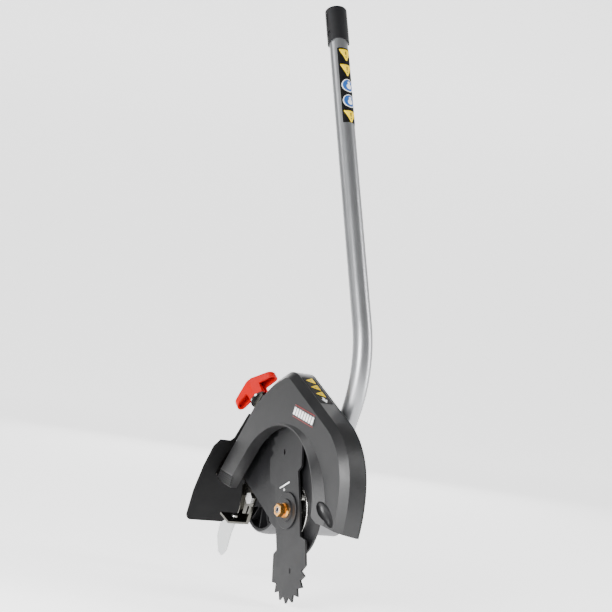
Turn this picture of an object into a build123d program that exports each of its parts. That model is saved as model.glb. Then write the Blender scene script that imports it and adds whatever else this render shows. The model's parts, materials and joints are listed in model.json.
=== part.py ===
from build123d import *
import os
from math import atan2, cos, degrees, pi, radians, sin, sqrt

# Curved-shaft lawn and walkway edger attachment, millimetres.
# Origin: centre of the blade, on the spindle axis.  +X forward, +Y to the operator's left,
# +Z up.  The blade turns in the XZ plane and its open side faces -Y.
# "Head frame": the same origin with z along the lower straight run of the boom, which
# leans forward of vertical in the working stance.  Most of the head is drawn in it.

# ---- driving dimensions ----
head_lean = 19.0          # lower boom run, degrees forward of vertical
boom_bend = 41.5          # angle between the two straight runs
bend_radius = 138.6       # centre line of the bend
boom_od = 22.2            # 7/8 in tube
boom_wall = 1.4
boom_y = 36.3             # boom and gear input axis, inboard of the blade
boom_foot = 64.0          # lower tube end above the spindle axis
bend_start = 125.0        # start of the bend above the spindle axis
upper_run = 398.0         # straight run above the bend

blade_length = 203.2      # 8 in blade
blade_width = 50.8        # 2 in waist
blade_thick = 2.4
blade_angle = 35.6        # rest angle of the blade's lower end, forward of the head axis
nose_radius = 34.2        # toothed end of the blade
tooth_count = 8
tooth_pitch = 22.0
tooth_root = 27.0

guard_face = 20.0         # outer face of the guard, outboard of the blade
guard_back = 6.5          # rear edge of the guard shell, inboard of the blade
guard_wall = 3.0
guard_chamfer = 7.5
plate_thick = 2.5
arch_radius = 92.0        # opening in the guard face
arch_centre = -2.0
arch_depth = 15.0         # the wall that lines the opening
front_foot = 35.0         # lower end of the front leg
rear_foot = -34.0         # lower end of the rear leg

rear_slope = 16.5         # rear wall, degrees from the head axis
rear_x = -143.5           # rear wall at the lower end
knob_s = 120.0            # clamp bolt, up the rear wall from its lower end
knob_y = -8.6
depth_travel = 45.0       # wheel bracket travel down the rear wall
strap_thick = 2.5
flap_thick = 3.0

wheel_x = -92.0
wheel_z = -34.0
wheel_radius = 40.0
wheel_near = 24.0
wheel_width = 24.0
bracket_y = 9.6           # outboard face of the bracket's side plate

cap_od = 26.2
cap_length = 47.0
button_from_end = 31.0

gear_distance = 20.0      # bevel cone distance
pinion_teeth = 12
gear_teeth = 16
gear_face = 7.0
mesh_gap = 0.15

cos_lean = cos(radians(head_lean))
sin_lean = sin(radians(head_lean))
cos_slope = cos(radians(rear_slope))
sin_slope = sin(radians(rear_slope))


def head(x, y, z):
    """A point or direction of the head frame, in the part's frame."""
    return Vector(x * cos_lean + z * sin_lean, y, z * cos_lean - x * sin_lean)


def side(outboard):
    """Plane parallel to the blade, facing outboard, this far outboard of it."""
    return Plane(origin=(0, -outboard, 0), x_dir=head(1, 0, 0), z_dir=(0, -1, 0))


def across(z, y=boom_y, x=0.0):
    """Plane square to the lower boom run."""
    return Plane(origin=head(x, y, z), x_dir=head(1, 0, 0), z_dir=head(0, 0, 1))


def rear(off):
    """Plane on the rear wall, facing rearward; x is outboard and y runs up the wall."""
    base = head(rear_x - off * cos_slope, 0, rear_foot + off * sin_slope)
    return Plane(origin=base, x_dir=(0, -1, 0), z_dir=head(-cos_slope, 0, sin_slope))


def rear_point(s):
    """Point of the rear wall in head x, z."""
    return (rear_x + s * sin_slope, rear_foot + s * cos_slope)


def save(part, name):
    part.label = name
    export_step(part, "parts/" + name + ".step")


os.makedirs("parts", exist_ok=True)

# =====================================================================================
# Boom
# =====================================================================================
with BuildLine(side(-boom_y)) as boom_path:
    lower_run = Line((0, boom_foot), (0, bend_start))
    bend = JernArc(start=lower_run @ 1, tangent=lower_run % 1, radius=bend_radius, arc_size=boom_bend)
    Line(bend @ 1, (bend @ 1) + (bend % 1) * upper_run)

boom_wire = boom_path.wires()[0]
boom_end = boom_wire @ 1
boom_dir = boom_wire % 1


def boom_plane(back):
    """Plane square to the upper boom run, this far below its end; x faces outboard."""
    return Plane(origin=boom_end - boom_dir * back, x_dir=(0, -1, 0), z_dir=boom_dir)


with BuildPart() as boom_tube:
    with BuildSketch(Plane(origin=boom_wire @ 0, x_dir=(0, -1, 0), z_dir=boom_wire % 0)):
        Circle(boom_od / 2)
        Circle(boom_od / 2 - boom_wall, mode=Mode.SUBTRACT)
    sweep(path=boom_wire)
    button_hole = Plane(
        origin=boom_end - boom_dir * button_from_end, x_dir=boom_dir, z_dir=(0, -1, 0)
    )
    with BuildSketch(button_hole):
        Circle(3.3)
    extrude(amount=boom_od, mode=Mode.SUBTRACT)
save(boom_tube.part, "boom_tube")

# the flexible shaft's plastic liner and its steel core follow the tube
liner_start = 4.0
liner_end = 46.0
with BuildLine(side(-boom_y)) as core_path:
    core_low = Line((0, boom_foot + liner_start), (0, bend_start))
    core_bend = JernArc(
        start=core_low @ 1, tangent=core_low % 1, radius=bend_radius, arc_size=boom_bend
    )
    Line(core_bend @ 1, (core_bend @ 1) + (core_bend % 1) * (upper_run - liner_end))
core_wire = core_path.wires()[0]

with BuildPart() as drive_liner:
    with BuildSketch(Plane(origin=core_wire @ 0, x_dir=(0, -1, 0), z_dir=core_wire % 0)):
        Circle(5.5)
        Circle(3.6, mode=Mode.SUBTRACT)
    sweep(path=core_wire)
save(drive_liner.part, "drive_liner")

with BuildPart() as flex_shaft:
    with BuildSketch(Plane(origin=core_wire @ 0, x_dir=(0, -1, 0), z_dir=core_wire % 0)):
        Circle(3.1)
    sweep(path=core_wire)
save(flex_shaft.part, "flex_shaft")

with BuildPart() as upper_bushing:
    with BuildSketch(boom_plane(44.5)):
        Circle(boom_od / 2 - boom_wall - 0.1)
        Circle(4.1, mode=Mode.SUBTRACT)
    extrude(amount=6)
    chamfer(upper_bushing.edges().filter_by(GeomType.CIRCLE).group_by(SortBy.RADIUS)[-1], 0.6)
save(upper_bushing.part, "upper_bushing")

with BuildPart() as lower_bushing:
    with BuildSketch(across(boom_foot + 1)):
        Circle(boom_od / 2 - boom_wall - 0.1)
        Circle(5.7, mode=Mode.SUBTRACT)
    extrude(amount=16)
save(lower_bushing.part, "lower_bushing")

# square-ended drive tip that the power head's coupling turns
with BuildPart() as drive_tip:
    with BuildSketch(boom_plane(45.6)):
        Circle(4.0)
    extrude(amount=8)
    with BuildSketch(boom_plane(37.6)):
        Rectangle(4.8, 4.8)
    extrude(amount=32)
    chamfer(drive_tip.faces().sort_by(Axis(boom_end, boom_dir))[-1].edges(), 0.8)
save(drive_tip.part, "drive_tip")

# sprung locking button in the tube's side, under the cap
button_plane = Plane(
    origin=boom_end - boom_dir * button_from_end - Vector(0, 5.2, 0),
    x_dir=boom_dir,
    z_dir=(0, -1, 0),
)
with BuildPart() as snap_button:
    with BuildSketch(button_plane.offset(1.6)):
        Circle(4.4)
    extrude(amount=1.4)
    with BuildSketch(button_plane.offset(3.0)):
        Circle(3.1)
    extrude(amount=4.2)
    fillet(snap_button.faces().sort_by(Axis.Y)[0].edges(), 1.4)
save(snap_button.part, "snap_button")

with BuildPart() as button_spring:
    with BuildSketch(boom_plane(button_from_end + 3)):
        with BuildLine():
            clip_out = CenterArc((0, 0), 9.6, 34, 292)
            clip_in = CenterArc((0, 0), 9.0, 34, 292)
            Line(clip_out @ 0, clip_in @ 0)
            Line(clip_out @ 1, clip_in @ 1)
        make_face()
    extrude(amount=6)
save(button_spring.part, "button_spring")

# hanger cap pushed over the end of the boom
cap_skirt = 42.5
with BuildPart() as hanger_cap:
    with BuildSketch(boom_plane(cap_skirt)):
        Circle(cap_od / 2)
    extrude(amount=cap_length)
    fillet(hanger_cap.faces().sort_by(Axis(boom_end, boom_dir))[-1].edges(), 3.0)
    with BuildSketch(boom_plane(cap_skirt)):
        Circle(boom_od / 2 + 0.1)
    extrude(amount=cap_skirt + 0.3, mode=Mode.SUBTRACT)
    with BuildSketch(Plane(origin=boom_end, x_dir=boom_dir, z_dir=(0, -1, 0))):
        with Locations((-button_from_end, 0)):
            Circle(3.5)
    extrude(amount=cap_od, mode=Mode.SUBTRACT)
    # rim raised a little on the two flatter sides
    rim_turn = radians(54)
    rim_axis = Vector(0, -cos(rim_turn), 0) + boom_plane(0).y_dir * sin(rim_turn)
    rim_plane = Plane(
        origin=boom_end - boom_dir * (cap_skirt + 31.5), x_dir=boom_dir, z_dir=rim_axis
    )
    with BuildSketch(rim_plane):
        Circle(34.0)
    extrude(amount=cap_od, both=True, mode=Mode.SUBTRACT)
    with BuildSketch(boom_plane(21)):
        with PolarLocations(cap_od / 2 + 0.2, 1, start_angle=-3):
            Rectangle(2.2, 2.4)
    extrude(amount=17.0, mode=Mode.SUBTRACT)
save(hanger_cap.part, "hanger_cap")

# adhesive label round the boom below the cap
with BuildPart() as boom_label:
    with BuildSketch(boom_plane(152.2)):
        with BuildLine():
            outer_arc = CenterArc((0, 0), boom_od / 2 + 0.25, 42, 150)
            inner_arc = CenterArc((0, 0), boom_od / 2 + 0.02, 42, 150)
            Line(outer_arc @ 0, inner_arc @ 0)
            Line(outer_arc @ 1, inner_arc @ 1)
        make_face()
    extrude(amount=99)
save(boom_label.part, "boom_label")

# =====================================================================================
# Gear head
# =====================================================================================
input_axis = Axis(head(0, boom_y, 0), head(0, 0, 1))
spindle_axis = Axis((0, 0, 0), (0, 1, 0))
case_nose = 9.2           # outboard end of the case
case_back = 58.0
shaft_radius = 5.0

case_outer = 25.0
collar_foot = 58.0
collar_top = 92.0

with BuildPart() as gear_case:
    with BuildSketch(side(-12.0)):
        Circle(case_outer)
    extrude(amount=-(case_back - 12.0))
    with BuildSketch(side(-case_nose)):
        Circle(17.5)
    extrude(amount=-4)
    with BuildSketch(across(0)):
        Circle(20)
    extrude(amount=46)
    with BuildSketch(across(40)):
        Circle(20)
    with BuildSketch(across(collar_foot)):
        Circle(16.2)
    loft()
    with BuildSketch(across(collar_foot)):
        Circle(16.2)
    extrude(amount=collar_top - collar_foot)
    with BuildSketch(across(collar_foot + 4)):
        with Locations((-18, 0)):
            RectangleRounded(18, 13, 3)
    extrude(amount=26)
    # side rails that take the guard screws
    with BuildSketch(side(-case_nose)):
        with PolarLocations(24, 4, start_angle=65):
            Circle(5.5)
    extrude(amount=-16)
    # gear chamber, opened from the inboard side
    with BuildSketch(side(-case_back)):
        Circle(20.4)
    extrude(amount=case_back - 24.0, mode=Mode.SUBTRACT)
    with BuildSketch(side(-13.0)):
        Circle(13.05)
    extrude(amount=-12, mode=Mode.SUBTRACT)
    with BuildSketch(side(-case_nose)):
        Circle(9.0)
    extrude(amount=-6, mode=Mode.SUBTRACT)
    # input bore, bearing seat and tube socket
    with BuildSketch(across(8)):
        Circle(13.05)
    extrude(amount=40, mode=Mode.SUBTRACT)
    with BuildSketch(across(46)):
        Circle(9)
    extrude(amount=20, mode=Mode.SUBTRACT)
    with BuildSketch(across(boom_foot)):
        Circle(boom_od / 2 + 0.05)
    extrude(amount=40, mode=Mode.SUBTRACT)
    # clamp slit and its two screw holes
    with BuildSketch(across(boom_foot)):
        with Locations((-20, 0)):
            Rectangle(26, 2.2)
    extrude(amount=40, mode=Mode.SUBTRACT)
    with BuildSketch(side(-boom_y)):
        with Locations((-21.5, collar_foot + 10), (-21.5, collar_foot + 24)):
            Circle(2.6)
    extrude(amount=20, both=True, mode=Mode.SUBTRACT)
    # guard screw holes
    with BuildSketch(side(-case_nose)):
        with PolarLocations(24, 4, start_angle=65):
            Circle(2.1)
    extrude(amount=-14, mode=Mode.SUBTRACT)
    # grease port on the forward side
    with BuildSketch(Plane(origin=head(0, boom_y, 30), x_dir=(0, 1, 0), z_dir=head(1, 0, 0))):
        Circle(3.05)
    extrude(amount=24, mode=Mode.SUBTRACT)
save(gear_case.part, "gear_case")

with BuildPart() as grease_plug:
    with BuildSketch(Plane(origin=head(14, boom_y, 30), x_dir=(0, 1, 0), z_dir=head(1, 0, 0))):
        Circle(3.0)
    extrude(amount=6.4)
    with BuildSketch(Plane(origin=head(20.4, boom_y, 30), x_dir=(0, 1, 0), z_dir=head(1, 0, 0))):
        RegularPolygon(5.0, 6)
        Circle(2.0, mode=Mode.SUBTRACT)
    extrude(amount=3.4)
save(grease_plug.part, "grease_plug")

with BuildPart() as case_cover:
    with BuildSketch(side(-case_back - 0.05)):
        Circle(case_outer)
    extrude(amount=-4)
    with BuildSketch(side(-case_back - 4.05)):
        Circle(14)
    extrude(amount=-3)
    fillet(case_cover.faces().sort_by(Axis.Y)[-1].edges(), 1.4)
    with BuildSketch(side(-case_back - 0.05)):
        Circle(20.3)
        Circle(8.1, mode=Mode.SUBTRACT)
    extrude(amount=2.5)
    with BuildSketch(side(-case_back - 0.05)):
        Circle(8.1)
    extrude(amount=-4.5, mode=Mode.SUBTRACT)
    with BuildSketch(side(-case_back - 4.05)):
        with PolarLocations(22.4, 4, start_angle=20):
            Circle(1.3)
    extrude(amount=8, both=True, mode=Mode.SUBTRACT)
save(case_cover.part, "case_cover")

with BuildPart() as cover_screws:
    for spot in PolarLocations(22.4, 4, start_angle=20):
        with BuildSketch(side(-case_back - 4.1)):
            add(Pos(spot.position.X, spot.position.Y) * Circle(2.4, mode=Mode.PRIVATE))
        extrude(amount=-2)
        with BuildSketch(side(-case_back - 4.1)):
            add(Pos(spot.position.X, spot.position.Y) * Circle(1.2, mode=Mode.PRIVATE))
        extrude(amount=3.9)
save(cover_screws.part, "cover_screws")

with BuildPart() as clamp_screws:
    for z in (collar_foot + 10, collar_foot + 24):
        shank = Plane(origin=head(-21.5, boom_y, z), x_dir=head(1, 0, 0), z_dir=(0, -1, 0))
        with BuildSketch(shank.offset(6.6)):
            Circle(4.4)
            RegularPolygon(2.0, 6, mode=Mode.SUBTRACT)
        extrude(amount=4.0)
        with BuildSketch(shank.offset(-9)):
            Circle(2.5)
        extrude(amount=15.6)
save(clamp_screws.part, "clamp_screws")


def ring(width, outer, inner, outboard):
    """Plain ring on the spindle axis, from its outboard face inward."""
    with BuildPart() as made:
        with BuildSketch(side(outboard)):
            Circle(outer)
            Circle(inner, mode=Mode.SUBTRACT)
        extrude(amount=-width)
        chamfer(made.edges().filter_by(GeomType.CIRCLE), 0.3)
    return made.part


outer_bearing = ring(9.0, 13.0, shaft_radius + 0.02, -14.5)
save(outer_bearing, "spindle_bearing_outer")
inner_bearing = ring(4.3, 8.05, 3.02, -case_back)
save(inner_bearing, "spindle_bearing_inner")
spindle_seal = ring(3.0, 8.95, shaft_radius + 1.05, -case_nose - 0.6)
save(spindle_seal, "spindle_seal")

with BuildPart() as input_bearing:
    with BuildSketch(across(36)):
        Circle(13.0)
        Circle(5.02, mode=Mode.SUBTRACT)
    extrude(amount=9)
    chamfer(input_bearing.edges().filter_by(GeomType.CIRCLE), 0.3)
save(input_bearing.part, "input_bearing")

# straight-cut bevel pair, drawn just inside their pitch cones
pitch_big = radians(90) - (radians(36.87))
gear_large = gear_distance * sin(pitch_big)
gear_height = gear_distance * cos(pitch_big)
small_ratio = (gear_distance - gear_face) / gear_distance


def bevel(base, large, height, bore, teeth, hub_radius, hub_back):
    """Bevel wheel whose pitch cone has its tip at the base plane's origin."""
    big = large - mesh_gap
    small = big * small_ratio
    slope = atan2(large, height)
    mid = (1 + small_ratio) / 2
    with BuildPart(base) as wheel:
        with BuildSketch(base.offset(height * small_ratio)):
            Circle(small)
        with BuildSketch(base.offset(height)):
            Circle(big)
        loft()
        with BuildSketch(base.offset(height)):
            Circle(big)
        extrude(amount=2.0)
        with BuildSketch(base.offset(height + 2.0)):
            Circle(hub_radius)
        extrude(amount=hub_back)
        with Locations((0, 0, height * mid)):
            with PolarLocations(big * mid, teeth):
                Box(
                    2.2,
                    pi * big * mid / teeth,
                    gear_face * 1.6,
                    rotation=(0, degrees(slope), 0),
                    mode=Mode.SUBTRACT,
                )
        with BuildSketch(base):
            Circle(bore)
        extrude(amount=height + hub_back + 4, mode=Mode.SUBTRACT)
    return wheel.part


gear_base = Plane(origin=(0, boom_y, 0), x_dir=head(1, 0, 0), z_dir=(0, 1, 0))
output_gear = bevel(gear_base, gear_large, gear_height, shaft_radius + 0.02, gear_teeth, 9.0, 3.0)
save(output_gear, "output_gear")

pinion_base = across(0)
pinion = bevel(pinion_base, gear_height, gear_large, 2.5, pinion_teeth, 6.5, 1.5)
save(pinion, "input_pinion")

# input shaft: pinion seat, bearing seat and the square socket for the flexible shaft
with BuildPart() as input_shaft:
    with BuildSketch(across(11.5)):
        Circle(2.48)
    extrude(amount=9)
    with BuildSketch(across(19.6)):
        Circle(5.0)
    extrude(amount=28)
    with BuildSketch(across(47.6)):
        Circle(6.5)
    extrude(amount=16.2)
    with BuildSketch(across(52)):
        Rectangle(5.0, 5.0)
    extrude(amount=12, mode=Mode.SUBTRACT)
save(input_shaft.part, "input_shaft")

# output shaft: blade seat and threaded end outboard, bearings and gear inboard
shaft_end = 14.2
with BuildPart() as output_shaft:
    with BuildSketch(side(-8.0)):
        Circle(shaft_radius)
    extrude(amount=-46.0)
    with BuildSketch(side(-54.0)):
        Circle(3.0)
    extrude(amount=-8.3)
    with BuildSketch(side(2.6)):
        Circle(5.0)
    extrude(amount=-10.6)
    with BuildSketch(side(shaft_end)):
        Circle(4.0)
    extrude(amount=-12.0)
    chamfer(output_shaft.faces().sort_by(Axis.Y)[0].edges(), 0.6)
    with BuildSketch(side(shaft_end)):
        RegularPolygon(2.6, 6)
    extrude(amount=-5.0, mode=Mode.SUBTRACT)
save(output_shaft.part, "output_shaft")

# =====================================================================================
# Blade stack
# =====================================================================================
with BuildPart() as inner_flange:
    with BuildSketch(side(-blade_thick / 2 - 0.02)):
        Circle(17.0)
        Circle(5.02, mode=Mode.SUBTRACT)
    extrude(amount=-2.6)
    with BuildSketch(side(-blade_thick / 2 - 2.6)):
        Circle(9.5)
        Circle(5.02, mode=Mode.SUBTRACT)
    extrude(amount=-5.2)
    chamfer(inner_flange.edges().filter_by(GeomType.CIRCLE).group_by(SortBy.RADIUS)[-1], 0.4)
save(inner_flange.part, "inner_flange")

nose_centre = blade_length / 2 - nose_radius
step_height = 10.6
blade_plane = Plane(
    origin=(0, blade_thick / 2, 0),
    x_dir=head(sin(radians(blade_angle)), 0, -cos(radians(blade_angle))),
    z_dir=(0, -1, 0),
)


def blade_end():
    """Half of the blade's outline: a waist, two stepped shoulders and a toothed nose."""
    half = blade_width / 2
    points = [(0, half), (31, half), (36, half + step_height), (63.5, half + step_height)]
    tip_angle = 78.0
    for tooth in range(tooth_count):
        root = radians(tip_angle + tooth_pitch * 0.42)
        tip = radians(tip_angle)
        points.append((nose_centre + tooth_root * cos(root), tooth_root * sin(root)))
        points.append((nose_centre + nose_radius * cos(tip), nose_radius * sin(tip)))
        tip_angle -= tooth_pitch
    points += [(45, -half - 4.6), (41, -half + 2.4), (0, -half)]
    return points


with BuildPart() as edger_blade:
    with BuildSketch(blade_plane):
        for turn in (0, 180):
            with BuildLine():
                Polyline(*[Vector(x, y).rotate(Axis.Z, turn) for x, y in blade_end()], close=True)
            make_face()
        Circle(5.1, mode=Mode.SUBTRACT)
        with Locations((66.5, 4.5), (-66.5, -4.5)):
            SlotOverall(6.4, 3.2, mode=Mode.SUBTRACT)
    extrude(amount=blade_thick)
save(edger_blade.part, "edger_blade")

with BuildPart() as cup_washer:
    with BuildSketch(side(blade_thick / 2 + 0.02)):
        Circle(20.5)
    extrude(amount=1.8)
    with BuildSketch(side(blade_thick / 2 + 1.8)):
        Circle(13.0)
    extrude(amount=1.6, taper=25)
    with BuildSketch(side(blade_thick / 2)):
        Circle(11.0)
    extrude(amount=1.4, mode=Mode.SUBTRACT)
    with BuildSketch(side(0)):
        Circle(5.1)
    extrude(amount=8, mode=Mode.SUBTRACT)
    fillet(cup_washer.edges().filter_by(GeomType.CIRCLE).group_by(SortBy.RADIUS)[-1], 0.6)
save(cup_washer.part, "cup_washer")

nut_seat = blade_thick / 2 + 3.5
with BuildPart() as blade_nut:
    with BuildSketch(side(nut_seat)):
        Circle(8.6)
    extrude(amount=2.2, taper=20)
    with BuildSketch(side(nut_seat + 1.2)):
        RegularPolygon(7.4, 6)
    extrude(amount=8.6)
    fillet(blade_nut.faces().sort_by(Axis.Y)[0].edges(), 0.8)
    with BuildSketch(side(nut_seat - 1)):
        Circle(4.02)
    extrude(amount=14, mode=Mode.SUBTRACT)
save(blade_nut.part, "blade_nut")

# =====================================================================================
# Guard
# =====================================================================================
rear_low = rear_point(-20)
rear_high = rear_point(115)
peak = (-59.0, 144.5)
crown = (46.0, 130.0)     # end of the straight top
nose = (109.0, 86.0)
front_low = (126.0, front_foot - 20)


def guard_edge():
    """Closed outline of the guard, with both legs drawn past their ends."""
    with BuildLine() as outline:
        Line(rear_low, rear_high)
        ThreePointArc(rear_high, (-91.5, 110.0), peak)
        top = Line(peak, crown)
        brow = TangentArc(crown, nose, tangent=top % 1)
        TangentArc(nose, front_low, tangent=brow % 1)
        Polyline(front_low, (60, front_low[1]), (60, rear_low[1]), rear_low)
    return outline.line


def guard_region():
    with BuildSketch() as region:
        add(guard_edge())
        make_face()
        fillet(region.vertices().sort_by(Axis.Y)[-1], 26)
    return region.sketch


flare_angle = 163.0
flare = (
    arch_centre + arch_radius * cos(radians(flare_angle)),
    arch_radius * sin(radians(flare_angle)),
)
arch_low = front_foot - 6
arch_right = (arch_centre + sqrt(arch_radius ** 2 - arch_low ** 2), arch_low)


def arch_region():
    """The opening in the face: an arc about the spindle, flaring to the rear leg."""
    with BuildSketch() as region:
        with BuildLine():
            ThreePointArc(arch_right, (arch_centre, arch_radius), flare)
            Polyline(flare, (-109.5, rear_foot - 1), (-109.5, -60), (arch_right[0], -60), arch_right)
        make_face()
    return region.sketch


slot_width = 6.6
pad_depth = 5.0           # thickness behind the slot
boss_spots = [(-98.0, 46.0), (-48.0, 131.0), (63.0, 113.0), (109.0, 62.0)]
boss_drop = 4.2           # bosses start inside the chamfered wall
region = guard_region()
arch = arch_region()
inner_region = offset(region, amount=-guard_wall)
outer_depth = guard_face + guard_back


with BuildPart() as guard_cavity:
    with BuildSketch(side(guard_face - guard_chamfer)):
        add(inner_region)
    extrude(amount=-outer_depth)
    with BuildSketch(side(guard_face - guard_chamfer)):
        add(inner_region)
    extrude(amount=guard_chamfer - guard_wall, taper=45)
    # solid end of the rear leg, and extra thickness behind the scoop
    with BuildSketch(side(guard_face + 5)):
        Polygon((-160, -60), (-90, -60), (-90, -6), (-160, -6), align=None)
        Polygon((78, 20), (118, 20), (118, 66), (78, 66), align=None)
    extrude(amount=-17, mode=Mode.SUBTRACT)

# the front leg is cut off by a plane that rises forward
front_foot_plane = Plane(
    origin=head(112, -6, front_foot), x_dir=head(0.974, 0, 0.229), z_dir=head(-0.226, 0.168, 0.96)
)
# leaf-shaped dish between the lip's lower end and the front edge
scoop_plane = Plane(
    origin=head(98, -guard_face - 3.0, 47), x_dir=head(0.95, 0, -0.31), z_dir=(0, -1, 0)
)
scoop_size = (18.0, 8.0, 7.0)
# the lip's rim rises out of the face toward the front
lip_rise = 0.062
lip_start = -48.0
lip_plane = Plane(
    origin=head(arch_centre, -guard_face - lip_rise * (arch_centre - lip_start), 0),
    x_dir=head(1, -lip_rise, 0),
    z_dir=head(-lip_rise, -1, 0),
)
lip_sink = 10.0
with BuildPart() as lip:
    with BuildSketch(lip_plane):
        Circle(arch_radius + 1.5)
    with BuildSketch(lip_plane.offset(-lip_sink)):
        Circle(arch_radius + 1.5 + lip_sink * 1.4)
    loft()
    with BuildSketch(side(guard_face - 2)):
        Rectangle(300, 300)
    extrude(amount=-30, mode=Mode.SUBTRACT)
    with BuildSketch(side(guard_face + 20)):
        add(region)
    extrude(amount=-40, mode=Mode.INTERSECT)

# the rear leg's end falls away from the face below this line
leg_plane = Plane(
    origin=head(-116, -guard_face, -13.6), x_dir=(0, -1, 0), z_dir=head(0.979, 0, 0.202)
)

with BuildPart() as guard_shell:
    with BuildSketch(side(guard_face - guard_chamfer)):
        add(region)
    extrude(amount=-(outer_depth - guard_chamfer))
    with BuildSketch(side(guard_face - guard_chamfer)):
        add(region)
    extrude(amount=guard_chamfer, taper=45)
    add(guard_cavity.part, mode=Mode.SUBTRACT)
    # wall that lines the opening
    with BuildSketch(side(guard_face - 1)):
        add(offset(arch, amount=2.5))
        add(region, mode=Mode.INTERSECT)
    extrude(amount=-(arch_depth - 1))
    # raised lip round the forward side of the opening
    add(lip.part)
    with BuildSketch(side(guard_face + 10)):
        add(arch)
    extrude(amount=-60, mode=Mode.SUBTRACT)
    # ends of both legs, the scoop and the bevelled face of the rear leg
    with BuildSketch(side(guard_face + 12)):
        Polygon(
            (-170, -36.9), (-143.5, -34), (-100, -29.2), (-60, -29.2), (-60, -80), (-170, -80), align=None
        )
    extrude(amount=-60, mode=Mode.SUBTRACT)
    with BuildPart(mode=Mode.PRIVATE) as foot_cut:
        with BuildSketch(front_foot_plane):
            Rectangle(90, 80)
        extrude(amount=-50)
    add(foot_cut.part, mode=Mode.SUBTRACT)
    with BuildSketch(side(guard_face + 12)):
        Polygon((75, 20), (92, 20), (92, 32.8), (83.5, 36.5), (75, 39), align=None)
    extrude(amount=-16, mode=Mode.SUBTRACT)
    dish = scale(Sphere(1, mode=Mode.PRIVATE), by=scoop_size, mode=Mode.PRIVATE)
    add(scoop_plane * dish, mode=Mode.SUBTRACT)
    with BuildSketch(leg_plane):
        Polygon((0, 0), (-6.4, 24), (9, 24), (9, 0), align=None)
    extrude(amount=34, both=True, mode=Mode.SUBTRACT)
    # pad, bolt slot and screw bosses
    with BuildSketch(rear(0)):
        with Locations((3.5, knob_s - depth_travel / 2)):
            Rectangle(17, depth_travel + 22)
    extrude(amount=-pad_depth)
    with BuildSketch(rear(1)):
        with Locations((-knob_y, knob_s - depth_travel / 2)):
            Rectangle(slot_width, depth_travel + slot_width + 0.4)
    extrude(amount=-30, mode=Mode.SUBTRACT)
    with BuildSketch(side(guard_face - boss_drop)):
        with Locations(*boss_spots):
            Circle(4.2)
    extrude(amount=-(outer_depth - boss_drop))
    with BuildSketch(side(-guard_back)):
        with Locations(*boss_spots):
            Circle(1.7)
    extrude(amount=16, mode=Mode.SUBTRACT)
    with BuildSketch(rear(-pad_depth)):
        with Locations((-knob_y, knob_s - depth_travel / 2)):
            SlotOverall(depth_travel + 12.6, 12.6, rotation=90)
    extrude(amount=-4, mode=Mode.SUBTRACT)
    # grooves across the bevelled end of the rear leg
    with BuildSketch(leg_plane):
        for groove in range(6):
            down = 3.0 + groove * 2.9
            with Locations((-down * 6.4 / 24, down)):
                Rectangle(4.6, 1.6, rotation=15)
    extrude(amount=34, both=True, mode=Mode.SUBTRACT)
save(guard_shell.part, "guard_shell")

with BuildPart() as guard_back_plate:
    with BuildSketch(side(-guard_back - 0.02)):
        add(region)
        with BuildLine():
            lobe_a = 15.0
            lobe_b = 216.0
            lobe = CenterArc((2, 0), 53, lobe_a, -(360 - (lobe_b - lobe_a)))
            Polyline(
                lobe @ 0, (84, front_foot + 1), (130, front_foot + 1), (130, -80),
                (-160, -80), (-160, -15), lobe @ 1,
            )
        make_face(mode=Mode.SUBTRACT)
        with Locations((0, rear_foot - 30)):
            Rectangle(200, 60, mode=Mode.SUBTRACT)
        Circle(14, mode=Mode.SUBTRACT)
        with PolarLocations(24, 4, start_angle=65):
            Circle(2.1, mode=Mode.SUBTRACT)
        with Locations(*boss_spots):
            Circle(2.1, mode=Mode.SUBTRACT)
    extrude(amount=-plate_thick)
save(guard_back_plate.part, "guard_back_plate")

with BuildPart() as mount_ring:
    with BuildSketch(side(-4.4)):
        Circle(32)
        Circle(18, mode=Mode.SUBTRACT)
        with PolarLocations(24, 4, start_angle=65):
            Circle(2.1, mode=Mode.SUBTRACT)
    extrude(amount=-2.1)
    fillet(mount_ring.edges().filter_by(GeomType.CIRCLE).group_by(SortBy.RADIUS)[-1].sort_by(
        Axis.Y)[0], 0.8)
save(mount_ring.part, "mount_ring")


def pan_screws(spots, head_face, head_high, shank_long, head_radius, shank_radius, inward):
    """Pan-head screws along Y; the head's flat face is at head_face, driven from one side."""
    sign = 1 if inward else -1
    with BuildPart() as screws:
        with BuildSketch(side(head_face)):
            with Locations(*spots):
                Circle(head_radius)
        extrude(amount=sign * head_high)
        with BuildSketch(side(head_face + sign * head_high)):
            with Locations(*spots):
                Rectangle(head_radius * 1.2, 0.8)
                Rectangle(0.8, head_radius * 1.2)
        extrude(amount=-sign * 0.8, mode=Mode.SUBTRACT)
        with BuildSketch(side(head_face)):
            with Locations(*spots):
                Circle(shank_radius)
        extrude(amount=-sign * shank_long)
    return screws.part


ring_spots = [(24 * cos(radians(a)), 24 * sin(radians(a))) for a in (65, 155, 245, 335)]
ring_screws = pan_screws(ring_spots, -4.38, 1.7, 18, 4.0, 2.0, True)
save(ring_screws, "ring_screws")
shell_screws = pan_screws(boss_spots, -guard_back - plate_thick - 0.05, 1.8, 14, 3.6, 1.68, False)
save(shell_screws, "shell_screws")

# blank badge on the face and warning strip along the top
with BuildPart() as guard_badge:
    with BuildSketch(side(guard_face + 0.02)):
        with Locations(Location((-2, 114), 9)):
            RectangleRounded(46, 11, 1.2)
    extrude(amount=0.4)
save(guard_badge.part, "guard_badge")

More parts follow.
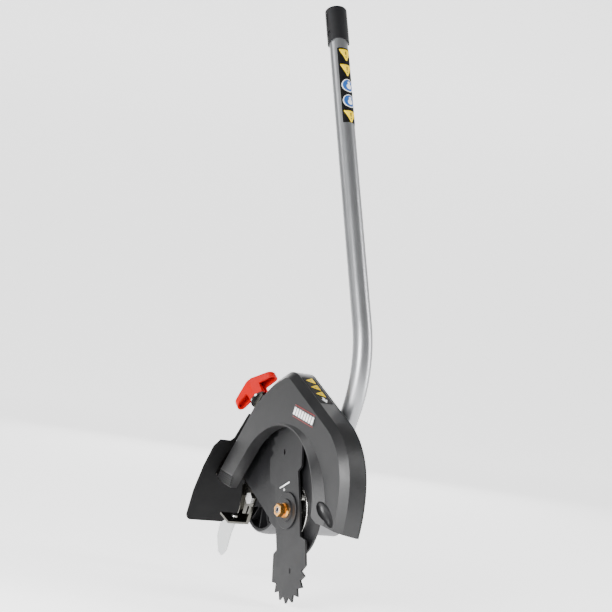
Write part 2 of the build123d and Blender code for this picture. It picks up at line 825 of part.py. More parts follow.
top_angle = degrees(atan2(crown[1] - peak[1], crown[0] - peak[0]))
strip_length = 52.0
top_mid = ((peak[0] * 0.61 + crown[0] * 0.39), (peak[1] * 0.61 + crown[1] * 0.39))
top_plane = Plane(
    origin=head(top_mid[0], (guard_back - guard_face + guard_chamfer) / 2, top_mid[1]),
    x_dir=head(cos(radians(top_angle)), 0, sin(radians(top_angle))),
    z_dir=head(-sin(radians(top_angle)), 0, cos(radians(top_angle))),
)
with BuildPart() as warning_strip:
    with BuildSketch(top_plane.offset(0.02)):
        RectangleRounded(strip_length, 16.5, 1.5)
    extrude(amount=0.3)
save(warning_strip.part, "warning_strip")

# =====================================================================================
# Wheel bracket, flap and clamp knob
# =====================================================================================
strap_off = 0.4
plate_edge = -(bracket_y + strap_thick)
foot_z = -62.0
with BuildPart() as wheel_bracket:
    with BuildSketch(rear(strap_off)):
        Polygon(
            (plate_edge, 3), (16.2, 3), (16.2, 34), (12.5, 44), (12.5, 131),
            (-2, 131), (plate_edge, 70), align=None,
        )
        with Locations((-knob_y, knob_s)):
            Rectangle(6.1, 6.1, mode=Mode.SUBTRACT)
        with Locations((2, 12), (2, 44)):
            Circle(2.05, mode=Mode.SUBTRACT)
    extrude(amount=strap_thick)
    strap_at = [rear_point(n) for n in (64, 2)]
    with BuildSketch(side(-bracket_y)):
        Polygon(
            (-85, foot_z - strap_thick), (-85, 10), (-100, 30),
            (strap_at[0][0] - 2.6, strap_at[0][1]), (strap_at[1][0] - 2.6, strap_at[1][1] + 0.5),
            (-134, -29), (-119, -24), (-112, -40), (-107.5, -56), (-107.5, foot_z - strap_thick),
            align=None,
        )
        with Locations((wheel_x, wheel_z)):
            Circle(4.05, mode=Mode.SUBTRACT)
        with Locations((-93, -51)):
            SlotOverall(13, 3.4, rotation=90, mode=Mode.SUBTRACT)
    extrude(amount=-strap_thick)
    with BuildSketch(side(16)):
        with Locations((-96.25, foot_z - strap_thick / 2)):
            Rectangle(22.5, strap_thick)
    extrude(amount=-(16 + bracket_y + strap_thick))
    # stiffening edges of the side plate
    with BuildSketch(side(-bracket_y)):
        with BuildLine():
            Polyline((-117.4, -28), (-112, -40), (-107.5, -56), (-107.5, foot_z), (-105.6, foot_z),
                     (-105.6, -56), (-110, -39.2), (-115.4, -28), close=True)
        make_face()
    extrude(amount=2.6)
    with BuildSketch(side(-bracket_y)):
        with Locations((-85.8, -52)):
            Rectangle(1.6, 20)
    extrude(amount=1.6)
    with BuildSketch(across(foot_z - 4, y=0, x=-100)):
        with Locations((0, 0)):
            Circle(2.05)
    extrude(amount=8, mode=Mode.SUBTRACT)
save(wheel_bracket.part, "wheel_bracket")

# carriage bolt through the slot, and the stack it carries
bolt_at = (-knob_y, knob_s)
washer_top = 5.0
knob_off = 6.3
with BuildPart() as clamp_bolt:
    with BuildSketch(rear(-pad_depth - 0.05)):
        with Locations(bolt_at):
            Circle(5.8)
    extrude(amount=-1.2)
    with BuildSketch(rear(-pad_depth - 1.25)):
        with Locations(bolt_at):
            Circle(5.8)
    extrude(amount=-2.0, taper=40)
    with BuildSketch(rear(-pad_depth - 0.05)):
        with Locations(bolt_at):
            Rectangle(6.0, 6.0)
    extrude(amount=pad_depth + strap_off + strap_thick)
    with BuildSketch(rear(strap_off + strap_thick - 0.05)):
        with Locations(bolt_at):
            Circle(3.0)
    extrude(amount=17)
save(clamp_bolt.part, "clamp_bolt")


def stack_ring(low, high, radius):
    """Washer on the clamp bolt between two heights above the rear wall."""
    with BuildPart() as made:
        with BuildSketch(rear(low)):
            with Locations(bolt_at):
                Circle(radius)
                Circle(3.05, mode=Mode.SUBTRACT)
        extrude(amount=high - low)
    return made.part


save(stack_ring(strap_off + strap_thick + 0.02, washer_top, 12.0), "clamp_washer")
save(stack_ring(washer_top + 0.02, knob_off - 0.02, 9.5), "knob_washer")

# two-winged clamp knob, hollow underneath
knob_turn = 115.0
knob_plane = Plane(rear(knob_off).location * Location((bolt_at[0], bolt_at[1], 0), (0, 0, knob_turn)))
knob_side = Plane(origin=knob_plane.origin, x_dir=knob_plane.x_dir, z_dir=-knob_plane.y_dir)


def knob_plan(centre, tip):
    """Waisted outline of the knob from above."""
    with BuildSketch(knob_plane) as plan:
        Circle(centre)
        with Locations((23.4, 0), (-23.4, 0)):
            Circle(tip)
        make_hull()
    return plan.sketch


with BuildPart() as knob_hollow:
    with BuildSketch(knob_side):
        Polygon((-27.8, -2), (-27.8, 15.0), (-3.6, 24.6), (3.6, 24.6), (27.8, 15.0), (27.8, -2),
                align=None)
    extrude(amount=9, both=True)
    add(extrude(knob_plan(6.4, 4.3), amount=34, mode=Mode.PRIVATE), mode=Mode.INTERSECT)

with BuildPart() as depth_knob:
    with BuildSketch(knob_side):
        Polygon((-30, 9.6), (-30, 16.8), (-4, 27), (4, 27), (30, 16.8), (30, 9.6), (10, 13.4),
                (8.8, 0), (-8.8, 0), (-10, 13.4), align=None)
    extrude(amount=9, both=True)
    add(extrude(knob_plan(8.8, 6.6), amount=34, mode=Mode.PRIVATE), mode=Mode.INTERSECT)
    add(knob_hollow.part, mode=Mode.SUBTRACT)
    with BuildSketch(knob_plane):
        Circle(8.6)
    extrude(amount=24.8)
    with BuildSketch(knob_plane):
        Circle(5.02)
    extrude(amount=8.0, mode=Mode.SUBTRACT)
    with BuildSketch(knob_plane):
        Circle(3.4)
    extrude(amount=16.0, mode=Mode.SUBTRACT)
save(depth_knob.part, "depth_knob")

with BuildPart() as knob_insert:
    with BuildSketch(knob_plane):
        Circle(5.0)
        Circle(3.05, mode=Mode.SUBTRACT)
    extrude(amount=7.9)
save(knob_insert.part, "knob_insert")

# rubber debris flap riveted to the strap
rivet_spots = [(2, 12), (2, 44)]
flap_off = strap_off + strap_thick + 0.02
with BuildPart() as debris_flap:
    with BuildSketch(rear(flap_off)) as flap_outline:
        Polygon(
            (12.8, 96), (14.5, 58), (17.5, 53), (31, 53), (35.5, 42), (35, 10), (31, -30), (22, -76),
            (-52, -76), (-52, 5), (-16, 62), (-9, 96), align=None,
        )
        fillet(flap_outline.vertices().group_by(Axis.Y)[0], 8)
        with Locations(*rivet_spots):
            Circle(2.02, mode=Mode.SUBTRACT)
    extrude(amount=flap_thick)
save(debris_flap.part, "debris_flap")

with BuildPart() as flap_rivets:
    with BuildSketch(rear(strap_off + 0.1)):
        with Locations(*rivet_spots):
            Circle(2.0)
    extrude(amount=strap_thick + flap_thick - 0.02)
    with BuildSketch(rear(flap_off + flap_thick + 0.02)):
        with Locations(*rivet_spots):
            Circle(4.4)
    extrude(amount=1.4, taper=20)
save(flap_rivets.part, "flap_rivets")

# =====================================================================================
# Wheel
# =====================================================================================
hub_start = 12.8
wheel_far = wheel_near + wheel_width
spoke_count = 10


def wheel_side(y):
    """Plane square to the wheel axle at this distance inboard, facing inboard."""
    return Plane(origin=head(wheel_x, y, wheel_z), x_dir=head(1, 0, 0), z_dir=(0, 1, 0))


with BuildPart() as wheel_hub:
    with BuildSketch(wheel_side(wheel_near)):
        Circle(wheel_radius - 3.5)
        Circle(wheel_radius - 6.2, mode=Mode.SUBTRACT)
    extrude(amount=wheel_width)
    with BuildSketch(wheel_side(wheel_near + 11)):
        Circle(wheel_radius - 5)
    extrude(amount=3)
    with BuildSketch(wheel_side(wheel_near + 2)):
        with PolarLocations(20, spoke_count):
            Rectangle(31, 2.2)
    extrude(amount=wheel_width - 4)
    with BuildSketch(wheel_side(hub_start)):
        Circle(9.2)
    extrude(amount=wheel_far - hub_start)
    with BuildSketch(wheel_side(hub_start)):
        Circle(6.06)
    extrude(amount=wheel_far - hub_start, mode=Mode.SUBTRACT)
    chamfer(wheel_hub.edges().filter_by(GeomType.CIRCLE).group_by(SortBy.RADIUS)[-1], 0.5)
save(wheel_hub.part, "wheel_hub")

with BuildPart() as wheel_tyre:
    tyre_half = Plane(origin=head(wheel_x, wheel_near, wheel_z), x_dir=(0, 1, 0), z_dir=head(-1, 0, 0))
    with BuildSketch(tyre_half):
        with BuildLine():
            tread = ThreePointArc((1.5, wheel_radius - 1.2), (12, wheel_radius), (22.5, wheel_radius - 1.2))
            Polyline(
                tread @ 1, (wheel_width, wheel_radius - 2.2), (wheel_width, wheel_radius - 3.48),
                (0, wheel_radius - 3.48), (0, wheel_radius - 2.2), tread @ 0,
            )
        make_face()
    revolve(axis=Axis(head(wheel_x, 0, wheel_z), (0, 1, 0)))
save(wheel_tyre.part, "wheel_tyre")

bush_start = bracket_y + strap_thick + 0.02
with BuildPart() as wheel_bush:
    with BuildSketch(wheel_side(bush_start)):
        Circle(6.0)
        Circle(4.02, mode=Mode.SUBTRACT)
    extrude(amount=wheel_far + 0.5 - bush_start)
save(wheel_bush.part, "wheel_bush")

with BuildPart() as wheel_axle:
    with BuildSketch(wheel_side(bracket_y - 4.4)):
        RegularPolygon(7.2, 6, rotation=30)
    extrude(amount=4.38)
    with BuildSketch(wheel_side(bracket_y - 0.02)):
        Circle(4.0)
    extrude(amount=wheel_far + 10.0 - bracket_y)
    chamfer(wheel_axle.faces().sort_by(Axis.Y)[-1].edges(), 0.6)
save(wheel_axle.part, "wheel_axle")

with BuildPart() as axle_nut:
    with BuildSketch(wheel_side(wheel_far + 0.52)):
        Circle(8.6)
    extrude(amount=1.4)
    with BuildSketch(wheel_side(wheel_far + 1.92)):
        RegularPolygon(7.4, 6)
    extrude(amount=6.2)
    with BuildSketch(wheel_side(wheel_far)):
        Circle(4.02)
    extrude(amount=12, mode=Mode.SUBTRACT)
save(axle_nut.part, "axle_nut")

# =====================================================================================
# Edge guide
# =====================================================================================
guide_top = foot_z - strap_thick - 0.02
with BuildPart() as edge_guide:
    with BuildSketch(side(1.0)):
        Polygon(
            (-104, guide_top), (-118, -78), (-125, -86), (-122, -101), (-109, -115), (-100, -115),
            (-94, -105), (-96, -83), (-94, guide_top), align=None,
        )
    extrude(amount=-2)
    with BuildSketch(across(guide_top, y=0, x=-97)):
        Rectangle(19, 14)
    extrude(amount=-1.8)
    with BuildSketch(across(guide_top + 1, y=0, x=-100)):
        Circle(2.02)
    extrude(amount=-4, mode=Mode.SUBTRACT)
save(edge_guide.part, "edge_guide")

with BuildPart() as guide_rivet:
    with BuildSketch(across(guide_top - 1.9, y=0, x=-100)):
        Circle(2.0)
    extrude(amount=strap_thick + 2.0)
    with BuildSketch(across(foot_z + 0.02, y=0, x=-100)):
        Circle(4.2)
    extrude(amount=1.5, taper=20)
save(guide_rivet.part, "guide_rivet")
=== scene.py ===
import bpy
import json
import math
from mathutils import Matrix, Vector


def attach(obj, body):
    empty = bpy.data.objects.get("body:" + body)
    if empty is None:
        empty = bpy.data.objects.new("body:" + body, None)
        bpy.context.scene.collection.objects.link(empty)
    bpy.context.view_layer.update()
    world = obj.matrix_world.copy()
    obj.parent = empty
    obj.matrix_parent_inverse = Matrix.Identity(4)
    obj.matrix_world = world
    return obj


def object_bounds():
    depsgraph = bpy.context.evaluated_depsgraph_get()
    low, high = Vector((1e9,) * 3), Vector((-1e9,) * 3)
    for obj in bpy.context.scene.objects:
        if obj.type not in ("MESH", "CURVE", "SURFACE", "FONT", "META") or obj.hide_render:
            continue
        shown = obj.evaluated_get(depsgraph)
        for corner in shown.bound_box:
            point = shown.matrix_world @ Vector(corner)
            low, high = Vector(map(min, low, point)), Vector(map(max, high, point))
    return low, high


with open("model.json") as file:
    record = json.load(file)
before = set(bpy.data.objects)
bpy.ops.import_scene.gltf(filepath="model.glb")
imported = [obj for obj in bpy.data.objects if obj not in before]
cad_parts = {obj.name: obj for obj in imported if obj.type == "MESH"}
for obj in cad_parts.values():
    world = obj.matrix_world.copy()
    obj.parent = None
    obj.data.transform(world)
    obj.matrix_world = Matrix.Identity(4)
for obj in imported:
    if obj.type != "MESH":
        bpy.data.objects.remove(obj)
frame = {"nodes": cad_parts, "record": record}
cad_low, cad_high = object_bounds()

# ---- the part's own frame, metres ----
MM = 0.001
HEAD_LEAN = math.radians(19.0)      # lower boom run, forward of vertical
BOOM_BEND = math.radians(41.5)
BEND_RADIUS = 138.6
BEND_START = 125.0
UPPER_RUN = 398.0
BOOM_Y = 36.3
BOOM_RADIUS = 11.1
GUARD_FACE = 20.0
BLADE_FACE = 1.2
STRIP_PEAK = (-59.0, 144.5)
STRIP_CROWN = (46.0, 130.0)
STRIP_Y = -3.0
BLADE_ANGLE = math.radians(35.6)
FLOOR_DROP = 0.004                  # floor below the part's lowest point
FLOOR_Z = cad_low[2] - FLOOR_DROP


def head(x, y, z):
    """Point of the head frame (millimetres, z along the lower boom run) in row metres."""
    c = math.cos(HEAD_LEAN)
    s = math.sin(HEAD_LEAN)
    return Vector((x * c + z * s, y, z * c - x * s)) * MM


def head_dir(x, y, z):
    return head(x, y, z).normalized()


# ---- materials ----
def new_material(name):
    mat = bpy.data.materials.new(name)
    mat.use_nodes = True
    return mat, mat.node_tree, mat.node_tree.nodes["Principled BSDF"]


def noise(tree, scale, detail=3.0, rough=0.55):
    node = tree.nodes.new("ShaderNodeTexNoise")
    node.inputs["Scale"].default_value = scale
    node.inputs["Detail"].default_value = detail
    node.inputs["Roughness"].default_value = rough
    coord = tree.nodes.new("ShaderNodeTexCoord")
    tree.links.new(coord.outputs["Object"], node.inputs["Vector"])
    return node


def ramp(tree, source, low, high, start=0.3, end=0.7):
    node = tree.nodes.new("ShaderNodeValToRGB")
    node.color_ramp.elements[0].position = start
    node.color_ramp.elements[1].position = end
    node.color_ramp.elements[0].color = low
    node.color_ramp.elements[1].color = high
    tree.links.new(source, node.inputs["Fac"])
    return node


def add_bump(tree, shader, height, strength, distance):
    node = tree.nodes.new("ShaderNodeBump")
    node.inputs["Strength"].default_value = strength
    node.inputs["Distance"].default_value = distance
    tree.links.new(height, node.inputs["Height"])
    tree.links.new(node.outputs["Normal"], shader.inputs["Normal"])


def surface(name, color, roughness, metallic=0.0, vary=0.12, grain=900.0, bump=0.1, depth=0.0002,
            rough_vary=0.06, specular=0.5):
    """Procedural finish: slightly uneven colour and gloss with a fine grain."""
    mat, tree, shader = new_material(name)
    shader.inputs["Metallic"].default_value = metallic
    shader.inputs["Specular IOR Level"].default_value = specular
    broad = noise(tree, 35.0)
    low = [c * (1 - vary) for c in color] + [1]
    high = [min(1.0, c * (1 + vary)) for c in color] + [1]
    tint = ramp(tree, broad.outputs["Fac"], low, high)
    tree.links.new(tint.outputs["Color"], shader.inputs["Base Color"])
    gloss = ramp(tree, broad.outputs["Fac"], [roughness - rough_vary] * 3 + [1],
                 [roughness + rough_vary] * 3 + [1])
    tree.links.new(gloss.outputs["Color"], shader.inputs["Roughness"])
    if bump > 0:
        fine = noise(tree, grain, detail=2.0)
        add_bump(tree, shader, fine.outputs["Fac"], bump, depth)
    return mat


MATERIALS = {
    "tube_metal": surface("tube_metal", (0.29, 0.295, 0.305), 0.34, metallic=0.8, vary=0.02,
                          grain=1500, bump=0.02, rough_vary=0.02),
    "black_plastic": surface("black_plastic", (0.008, 0.008, 0.009), 0.5, grain=1400, bump=0.2,
                             specular=0.3),
    "guard_plastic": surface("guard_plastic", (0.0102, 0.0102, 0.0108), 0.36, vary=0.05, grain=1600,
                             bump=0.18, depth=0.00012, specular=0.4),
    "white_plastic": surface("white_plastic", (0.62, 0.62, 0.58), 0.45),
    "clear_plastic": surface("clear_plastic", (0.50, 0.51, 0.51), 0.25, vary=0.03, bump=0.05),
    "red_plastic": surface("red_plastic", (0.44, 0.0006, 0.001), 0.42, vary=0.06, bump=0.05,
                           specular=0.14),
    "blade_paint": surface("blade_paint", (0.0095, 0.0095, 0.0102), 0.42, vary=0.10, grain=700,
                           bump=0.12, specular=0.3),
    "plate_paint": surface("plate_paint", (0.007, 0.007, 0.0078), 0.42, vary=0.1, bump=0.1,
                           specular=0.3),
    "cast_metal": surface("cast_metal", (0.20, 0.20, 0.205), 0.5, metallic=0.9, grain=500, bump=0.5,
                          depth=0.0004),
    "steel": surface("steel", (0.38, 0.38, 0.39), 0.3, metallic=1.0, bump=0.08),
    "zinc_plate": surface("zinc_plate", (0.50, 0.495, 0.48), 0.22, metallic=1.0, vary=0.08,
                          bump=0.04),
    "gold_zinc": surface("gold_zinc", (0.72, 0.36, 0.09), 0.24, metallic=1.0, vary=0.12,
                         bump=0.05),
    "rubber": surface("rubber", (0.0025, 0.0025, 0.0028), 0.72, vary=0.2, grain=600, bump=0.25,
                      specular=0.12),
    "tread": surface("tread", (0.06, 0.06, 0.062), 0.6, vary=0.08, grain=500, bump=0.2),
    "label": surface("label", (0.004, 0.004, 0.0045), 0.6, vary=0.1, bump=0.02, specular=0.15),
    "badge": surface("badge", (0.020, 0.020, 0.021), 0.45, vary=0.03, bump=0.02),
}

# the bracket's plating is yellower than the small hardware's; its base colour is also darkened as
# painted shade, standing in for the dark surroundings its shiny plating reflects
BRACKET_ZINC_WITH_PAINTED_SHADE = surface("bracket_zinc_with_painted_shade", (0.115, 0.112, 0.100), 0.17, metallic=1.0, vary=0.15,
                       bump=0.04)

for row in frame["record"]["subparts"]:
    obj = frame["nodes"][row["node"]]
    obj.data.materials.clear()
    obj.data.materials.append(MATERIALS[row["material_slot"]])
# the bracket gets the darkened zinc copy: real yellow plating tint plus painted shade
bracket = frame["nodes"]["wheel_bracket"]
bracket.data.materials.clear()
bracket.data.materials.append(BRACKET_ZINC_WITH_PAINTED_SHADE)

# ---- softened edges, widths in millimetres ----
EDGE_WIDTHS = {"guard_shell": 0.7, "debris_flap": 0.7, "edger_blade": 0.3, "wheel_bracket": 0.4,
               "depth_knob": 0.5, "cup_washer": 0.4, "blade_nut": 0.3, "gear_case": 0.5,
               "case_cover": 0.4, "hanger_cap": 0.4, "edge_guide": 0.4, "wheel_hub": 0.4}
EDGE_LIMIT = math.radians(32)

for node_name, edge_width in EDGE_WIDTHS.items():
    soften = frame["nodes"][node_name].modifiers.new("soften", "BEVEL")
    soften.width = edge_width * MM
    soften.segments = 2
    soften.limit_method = "ANGLE"
    soften.angle_limit = EDGE_LIMIT

# ---- printed graphics ----
BEND_END = (BEND_RADIUS * (math.cos(BOOM_BEND) - 1),
            BEND_START + BEND_RADIUS * math.sin(BOOM_BEND))
BOOM_END = (BEND_END[0] - UPPER_RUN * math.sin(BOOM_BEND),
            BEND_END[1] + UPPER_RUN * math.cos(BOOM_BEND))
BOOM_TOP = head(BOOM_END[0], BOOM_Y, BOOM_END[1])
BOOM_DIR = head_dir(-math.sin(BOOM_BEND), 0, math.cos(BOOM_BEND))
OUTBOARD = Vector((0, -1, 0))
BOOM_FORWARD = BOOM_DIR.cross(OUTBOARD)

# heights in millimetres: the labels' own thickness, then the ink's
BOOM_LABEL = 0.26
STRIP_LABEL = 0.4
BADGE_BLOCK_LIFT = 0.42
INK_GAP = 0.03
INK_THICK = 0.05
DISC_ROWS = 20
TRIANGLE_ROWS = 14


def link_mesh(name, verts, faces, material, body, smooth=True):
    mesh = bpy.data.meshes.new(name)
    mesh.from_pydata([tuple(v) for v in verts], [], faces)
    mesh.update()
    for face in mesh.polygons:
        face.use_smooth = smooth
    mesh.materials.append(material)
    obj = bpy.data.objects.new(name, mesh)
    bpy.context.collection.objects.link(obj)
    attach(obj, body)
    return obj


def patch(name, rows, width_at, place, normal_at, lift, thick, material, body, columns=14):
    """Thin printed shape laid on a surface: rows of points between a left and a right edge.

    width_at(v) gives the left and right edge, place(u, v) a surface point, normal_at(u, v) its normal.
    """
    verts = []
    faces = []
    count = columns + 1
    for layer in (lift, lift + thick):
        for v in rows:
            left, right = width_at(v)
            for column in range(count):
                u = left + (right - left) * column / columns
                verts.append(place(u, v) + normal_at(u, v) * layer)
    size = len(rows) * count
    for i in range(len(rows) - 1):
        for j in range(columns):
            a = i * count + j
            quad = (a, a + 1, a + count + 1, a + count)
            faces.append(tuple(reversed(quad)))
            faces.append(tuple(q + size for q in quad))
    rim = list(range(count))
    rim += [i * count + columns for i in range(1, len(rows))]
    rim += [(len(rows) - 1) * count + j for j in range(columns - 1, -1, -1)]
    rim += [i * count for i in range(len(rows) - 2, 0, -1)]
    for a, b in zip(rim, rim[1:] + rim[:1]):
        faces.append((a, b, b + size, a + size))
    return link_mesh(name, verts, faces, material, body)


def spread(low, high, count):
    return [low + (high - low) * i / (count - 1) for i in range(count)]


def disc_shape(radius, centre=(0, 0)):
    rows = [centre[1] - radius * math.cos(math.pi * i / DISC_ROWS) for i in range(DISC_ROWS + 1)]

    def width(v):
        half = math.sqrt(max(0.0, radius ** 2 - (v - centre[1]) ** 2))
        return centre[0] - half, centre[0] + half
    return rows, width


def triangle_shape(side, apex_down=True):
    """Warning triangle with blunt corners, centred on its middle height."""
    height = side * math.sqrt(3) / 2
    rows = spread(-height / 2, height / 2, TRIANGLE_ROWS)

    def width(v):
        part = (v + height / 2) / height if apex_down else (height / 2 - v) / height
        half = side / 2 * (0.07 + 0.93 * part)
        if part > 0.9:
            half -= side * 0.04 * ((part - 0.9) / 0.1) ** 2
        return -half, half
    return rows, width


def block_shape(wide, high, lean=0.0, centre=(0, 0)):
    rows = spread(centre[1] - high / 2, centre[1] + high / 2, 3)

    def width(v):
        shift = lean * (v - centre[1])
        return centre[0] + shift - wide / 2, centre[0] + shift + wide / 2
    return rows, width


def on_boom(back, angle):
    """Surface mapping round the boom at this distance below its end, in millimetres."""
    turn = math.radians(angle)

    def normal_at(u, v):
        around = turn + u / BOOM_RADIUS
        return OUTBOARD * math.cos(around) + BOOM_FORWARD * math.sin(around)

    def place(u, v):
        return BOOM_TOP - BOOM_DIR * (back - v) * MM + normal_at(u, v) * BOOM_RADIUS * MM
    return place, normal_at


def on_plane(origin, along, up, normal):
    def place(u, v):
        return origin + along * u * MM + up * v * MM

    def normal_at(u, v):
        return normal
    return place, normal_at


INK_YELLOW = surface("ink_yellow", (0.95, 0.66, 0.0), 0.7, vary=0.03, bump=0, specular=0.1)
INK_BLUE = surface("ink_blue", (0.012, 0.085, 0.33), 0.5, vary=0.05, bump=0)
INK_WHITE = surface("ink_white", (0.82, 0.82, 0.82), 0.35, vary=0.02, bump=0)
INK_BLACK = surface("ink_black", (0.012, 0.012, 0.012), 0.35, vary=0.05, bump=0)
INK_RED = surface("ink_red", (0.22, 0.012, 0.012), 0.4, vary=0.05, bump=0)
INK_GREY = surface("ink_grey", (0.42, 0.42, 0.42), 0.4, vary=0.03, bump=0)


def stamp(name, shape, mapping, layer, material, body, base=0.0):
    rows, width = shape
    place, normal_at = mapping
    lift = base + INK_GAP + INK_THICK * layer
    return patch(name, rows, width, place, normal_at, lift * MM, INK_THICK * MM, material, body)


def boom_graphics():
    """Three warning triangles and two instruction discs down the boom label."""
    label_angle = 95.0
    first_back = 62.7
    pitch = 20.4
    triangle = (("", triangle_shape(17.5), 0, INK_YELLOW),
                ("_bar", block_shape(1.5, 5.0, 0.0, (0, 2.2)), 1, INK_BLACK),
                ("_dot", disc_shape(0.9, (0, -2.6)), 1, INK_BLACK))
    disc = (("", disc_shape(8.4), 0, INK_WHITE),
            ("_field", disc_shape(7.4), 1, INK_BLUE),
            ("_figure", disc_shape(3.4, (0.8, -1.2)), 2, INK_WHITE),
            ("_head", disc_shape(1.8, (0.8, 3.6)), 2, INK_WHITE))
    for number, mark in enumerate((triangle, triangle, disc, disc, triangle)):
        mapping = on_boom(first_back + number * pitch, label_angle)
        for suffix, shape, layer, ink in mark:
            name = "boom_mark_%d%s" % (number, suffix)
            stamp(name, shape, mapping, layer, ink, "boom", BOOM_LABEL)


def face_graphics():
    """Plain slanted blocks between two red lines on the guard's face badge."""
    slope = math.radians(9)
    along = head_dir(math.cos(slope), 0, math.sin(slope))
    up = head_dir(-math.sin(slope), 0, math.cos(slope))
    mapping = on_plane(head(-2, -GUARD_FACE, 114), along, up, OUTBOARD)
    for number in range(8):
        block = block_shape(4.0, 8.6, 0.12, (-19.2 + number * 5.5, 0))
        stamp("badge_block_%d" % number, block, mapping, 0, INK_WHITE, "boom", BADGE_BLOCK_LIFT)
    for number, level in enumerate((-6.4, 6.4)):
        line = block_shape(44.0, 0.7, 0.0, (0, level))
        stamp("badge_line_%d" % number, line, mapping, 0, INK_RED, "boom")


def strip_graphics():
    """Three warning triangles and an arrow along the label on the guard's top."""
    fall = math.atan2(STRIP_PEAK[1] - STRIP_CROWN[1], STRIP_CROWN[0] - STRIP_PEAK[0])
    along = head_dir(math.cos(fall), 0, -math.sin(fall))
    normal = head_dir(math.sin(fall), 0, math.cos(fall))
    part = 0.39
    middle = [a + (b - a) * part for a, b in zip(STRIP_PEAK, STRIP_CROWN)]
    centre = head(middle[0], STRIP_Y, middle[1])
    triangle = triangle_shape(11.8, False)
    bar = block_shape(1.2, 3.6, 0.0, (0, -1.0))
    for number in range(3):
        spot = -19.5 + number * 13.5
        mark = on_plane(centre + along * spot * MM, along, OUTBOARD, normal)
        name = "strip_mark_%d" % number
        stamp(name, triangle, mark, 0, INK_YELLOW, "boom", STRIP_LABEL)
        stamp(name + "_bar", bar, mark, 1, INK_BLACK, "boom", STRIP_LABEL)
    shaft = block_shape(5.0, 2.6, 0.0, (17.0, 0))
    mapping = on_plane(centre, along, OUTBOARD, normal)
    stamp("strip_arrow", shaft, mapping, 0, INK_WHITE, "boom", STRIP_LABEL)
    tip = on_plane(centre + along * 21.9 * MM, -OUTBOARD, along, normal)
    stamp("strip_arrow_tip", triangle_shape(7.4, False), tip, 0, INK_WHITE, "boom", STRIP_LABEL)


def blade_graphics():
    """White alignment dash and dot near the blade's centre."""
    along = head_dir(math.sin(BLADE_ANGLE), 0, -math.cos(BLADE_ANGLE))
    up = head_dir(math.cos(BLADE_ANGLE), 0, math.sin(BLADE_ANGLE))
    mapping = on_plane(Vector((0, -BLADE_FACE * MM, 0)), along, up, OUTBOARD)
    dash = block_shape(1.6, 20.5, -0.2, (-29, -5))
    stamp("blade_dash", dash, mapping, 0, INK_WHITE, "spindle")
    stamp("blade_dot", disc_shape(1.6, (-24, -6)), mapping, 0, INK_GREY, "spindle")


boom_graphics()
face_graphics()
strip_graphics()
blade_graphics()

# ---- stage, lights and camera ----
WALL_TURN_STEPS = 16
WALL_RADIUS = 1.6
WALL_HEIGHT = 5.0
FLOOR_NEAR = 1.4
FLOOR_FAR = -2.2
FLOOR_HALF_WIDTH = 5.0
FLOOR_STRETCH = 1.4
VIEW_TURN = math.radians(31.7)
SOFTBOX_AIM = (-0.03, 0, 0.22)
CAMERA_PLACE = (1.3751, -0.8648, 0.1837)
CAMERA_RIGHT = (0.5225, 0.8396, 0.1463)
CAMERA_BACK = (0.8505, -0.5250, -0.0272)


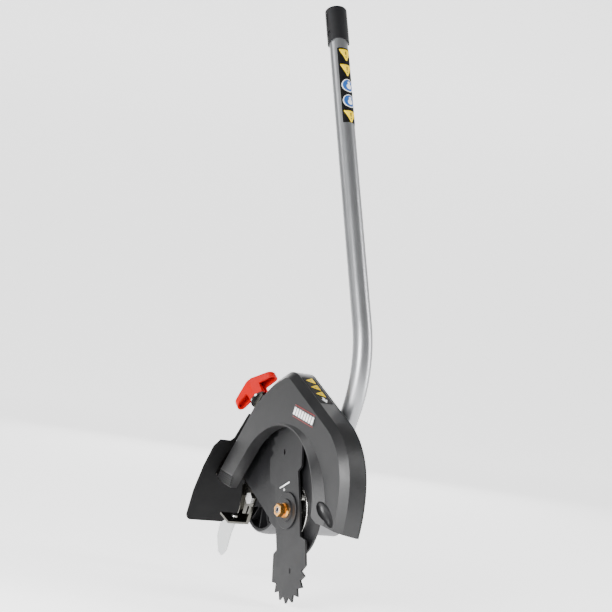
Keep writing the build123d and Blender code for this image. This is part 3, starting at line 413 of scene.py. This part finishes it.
def backdrop():
    """Floor that curves up into a wall far behind the object."""
    profile = [(FLOOR_NEAR, 0.0), (FLOOR_FAR, 0.0)]
    for step in range(1, WALL_TURN_STEPS + 1):
        turn = math.radians(90) * step / WALL_TURN_STEPS
        profile.append((FLOOR_FAR - WALL_RADIUS * math.sin(turn), WALL_RADIUS * (1 - math.cos(turn))))
    profile.append((FLOOR_FAR - WALL_RADIUS, WALL_HEIGHT))
    away = Vector((math.cos(VIEW_TURN), -math.sin(VIEW_TURN), 0))
    across = Vector((math.sin(VIEW_TURN), math.cos(VIEW_TURN), 0))
    verts = []
    for along, height in profile:
        for side in (-FLOOR_HALF_WIDTH, FLOOR_HALF_WIDTH):
            level = Vector((0, 0, FLOOR_Z + height))
            verts.append(away * along * FLOOR_STRETCH + across * side + level)
    faces = [(2 * i, 2 * i + 1, 2 * i + 3, 2 * i + 2) for i in range(len(profile) - 1)]
    mesh = bpy.data.meshes.new("backdrop")
    mesh.from_pydata(verts, [], faces)
    for face in mesh.polygons:
        face.use_smooth = True
    obj = bpy.data.objects.new("backdrop", mesh)
    bpy.context.collection.objects.link(obj)
    mat, _, shader = new_material("backdrop_white")
    shader.inputs["Base Color"].default_value = (0.93, 0.93, 0.93, 1)
    shader.inputs["Roughness"].default_value = 0.9
    shader.inputs["Specular IOR Level"].default_value = 0.1
    shader.inputs["Emission Color"].default_value = (1, 1, 1, 1)
    shader.inputs["Emission Strength"].default_value = 1.7
    mesh.materials.append(mat)


def softbox(name, place, target, wide, high, power):
    data = bpy.data.lights.new(name, "AREA")
    data.shape = "RECTANGLE"
    data.size = wide
    data.size_y = high
    data.energy = power
    obj = bpy.data.objects.new(name, data)
    obj.location = place
    obj.rotation_euler = (Vector(target) - Vector(place)).to_track_quat("-Z", "Y").to_euler()
    bpy.context.collection.objects.link(obj)


def studio():
    """Tall softboxes left and right of the camera, small ones low and high, a fill behind."""
    world = bpy.data.worlds.new("studio")
    world.use_nodes = True
    shade = world.node_tree.nodes["Background"]
    shade.inputs["Color"].default_value = (1, 1, 1, 1)
    shade.inputs["Strength"].default_value = 0.16
    bpy.context.scene.world = world
    softbox("key", (0.75, -1.75, 0.30), SOFTBOX_AIM, 0.7, 1.6, 75)
    softbox("floor_glow", (0.42, -0.72, 0.35), (0.40, -0.70, FLOOR_Z), 0.35, 0.35, 9)
    softbox("right_strip", (0.75, 1.35, 0.5), SOFTBOX_AIM, 0.35, 1.6, 36)
    softbox("high_left", (-0.9, -1.5, 1.3), SOFTBOX_AIM, 0.6, 0.6, 9)
    softbox("behind", (-1.5, 0.9, 0.8), SOFTBOX_AIM, 1.2, 1.4, 14)


def camera():
    data = bpy.data.cameras.new("camera")
    data.sensor_width = 36.0
    data.lens = 85.7
    data.clip_end = 50
    obj = bpy.data.objects.new("camera", data)
    right = Vector(CAMERA_RIGHT).normalized()
    back = Vector(CAMERA_BACK).normalized()
    up = back.cross(right).normalized()
    right = up.cross(back)
    pose = Matrix((right, up, back)).transposed().to_4x4()
    pose.translation = Vector(CAMERA_PLACE)
    obj.matrix_world = pose
    bpy.context.collection.objects.link(obj)
    bpy.context.scene.camera = obj


backdrop()
studio()
camera()
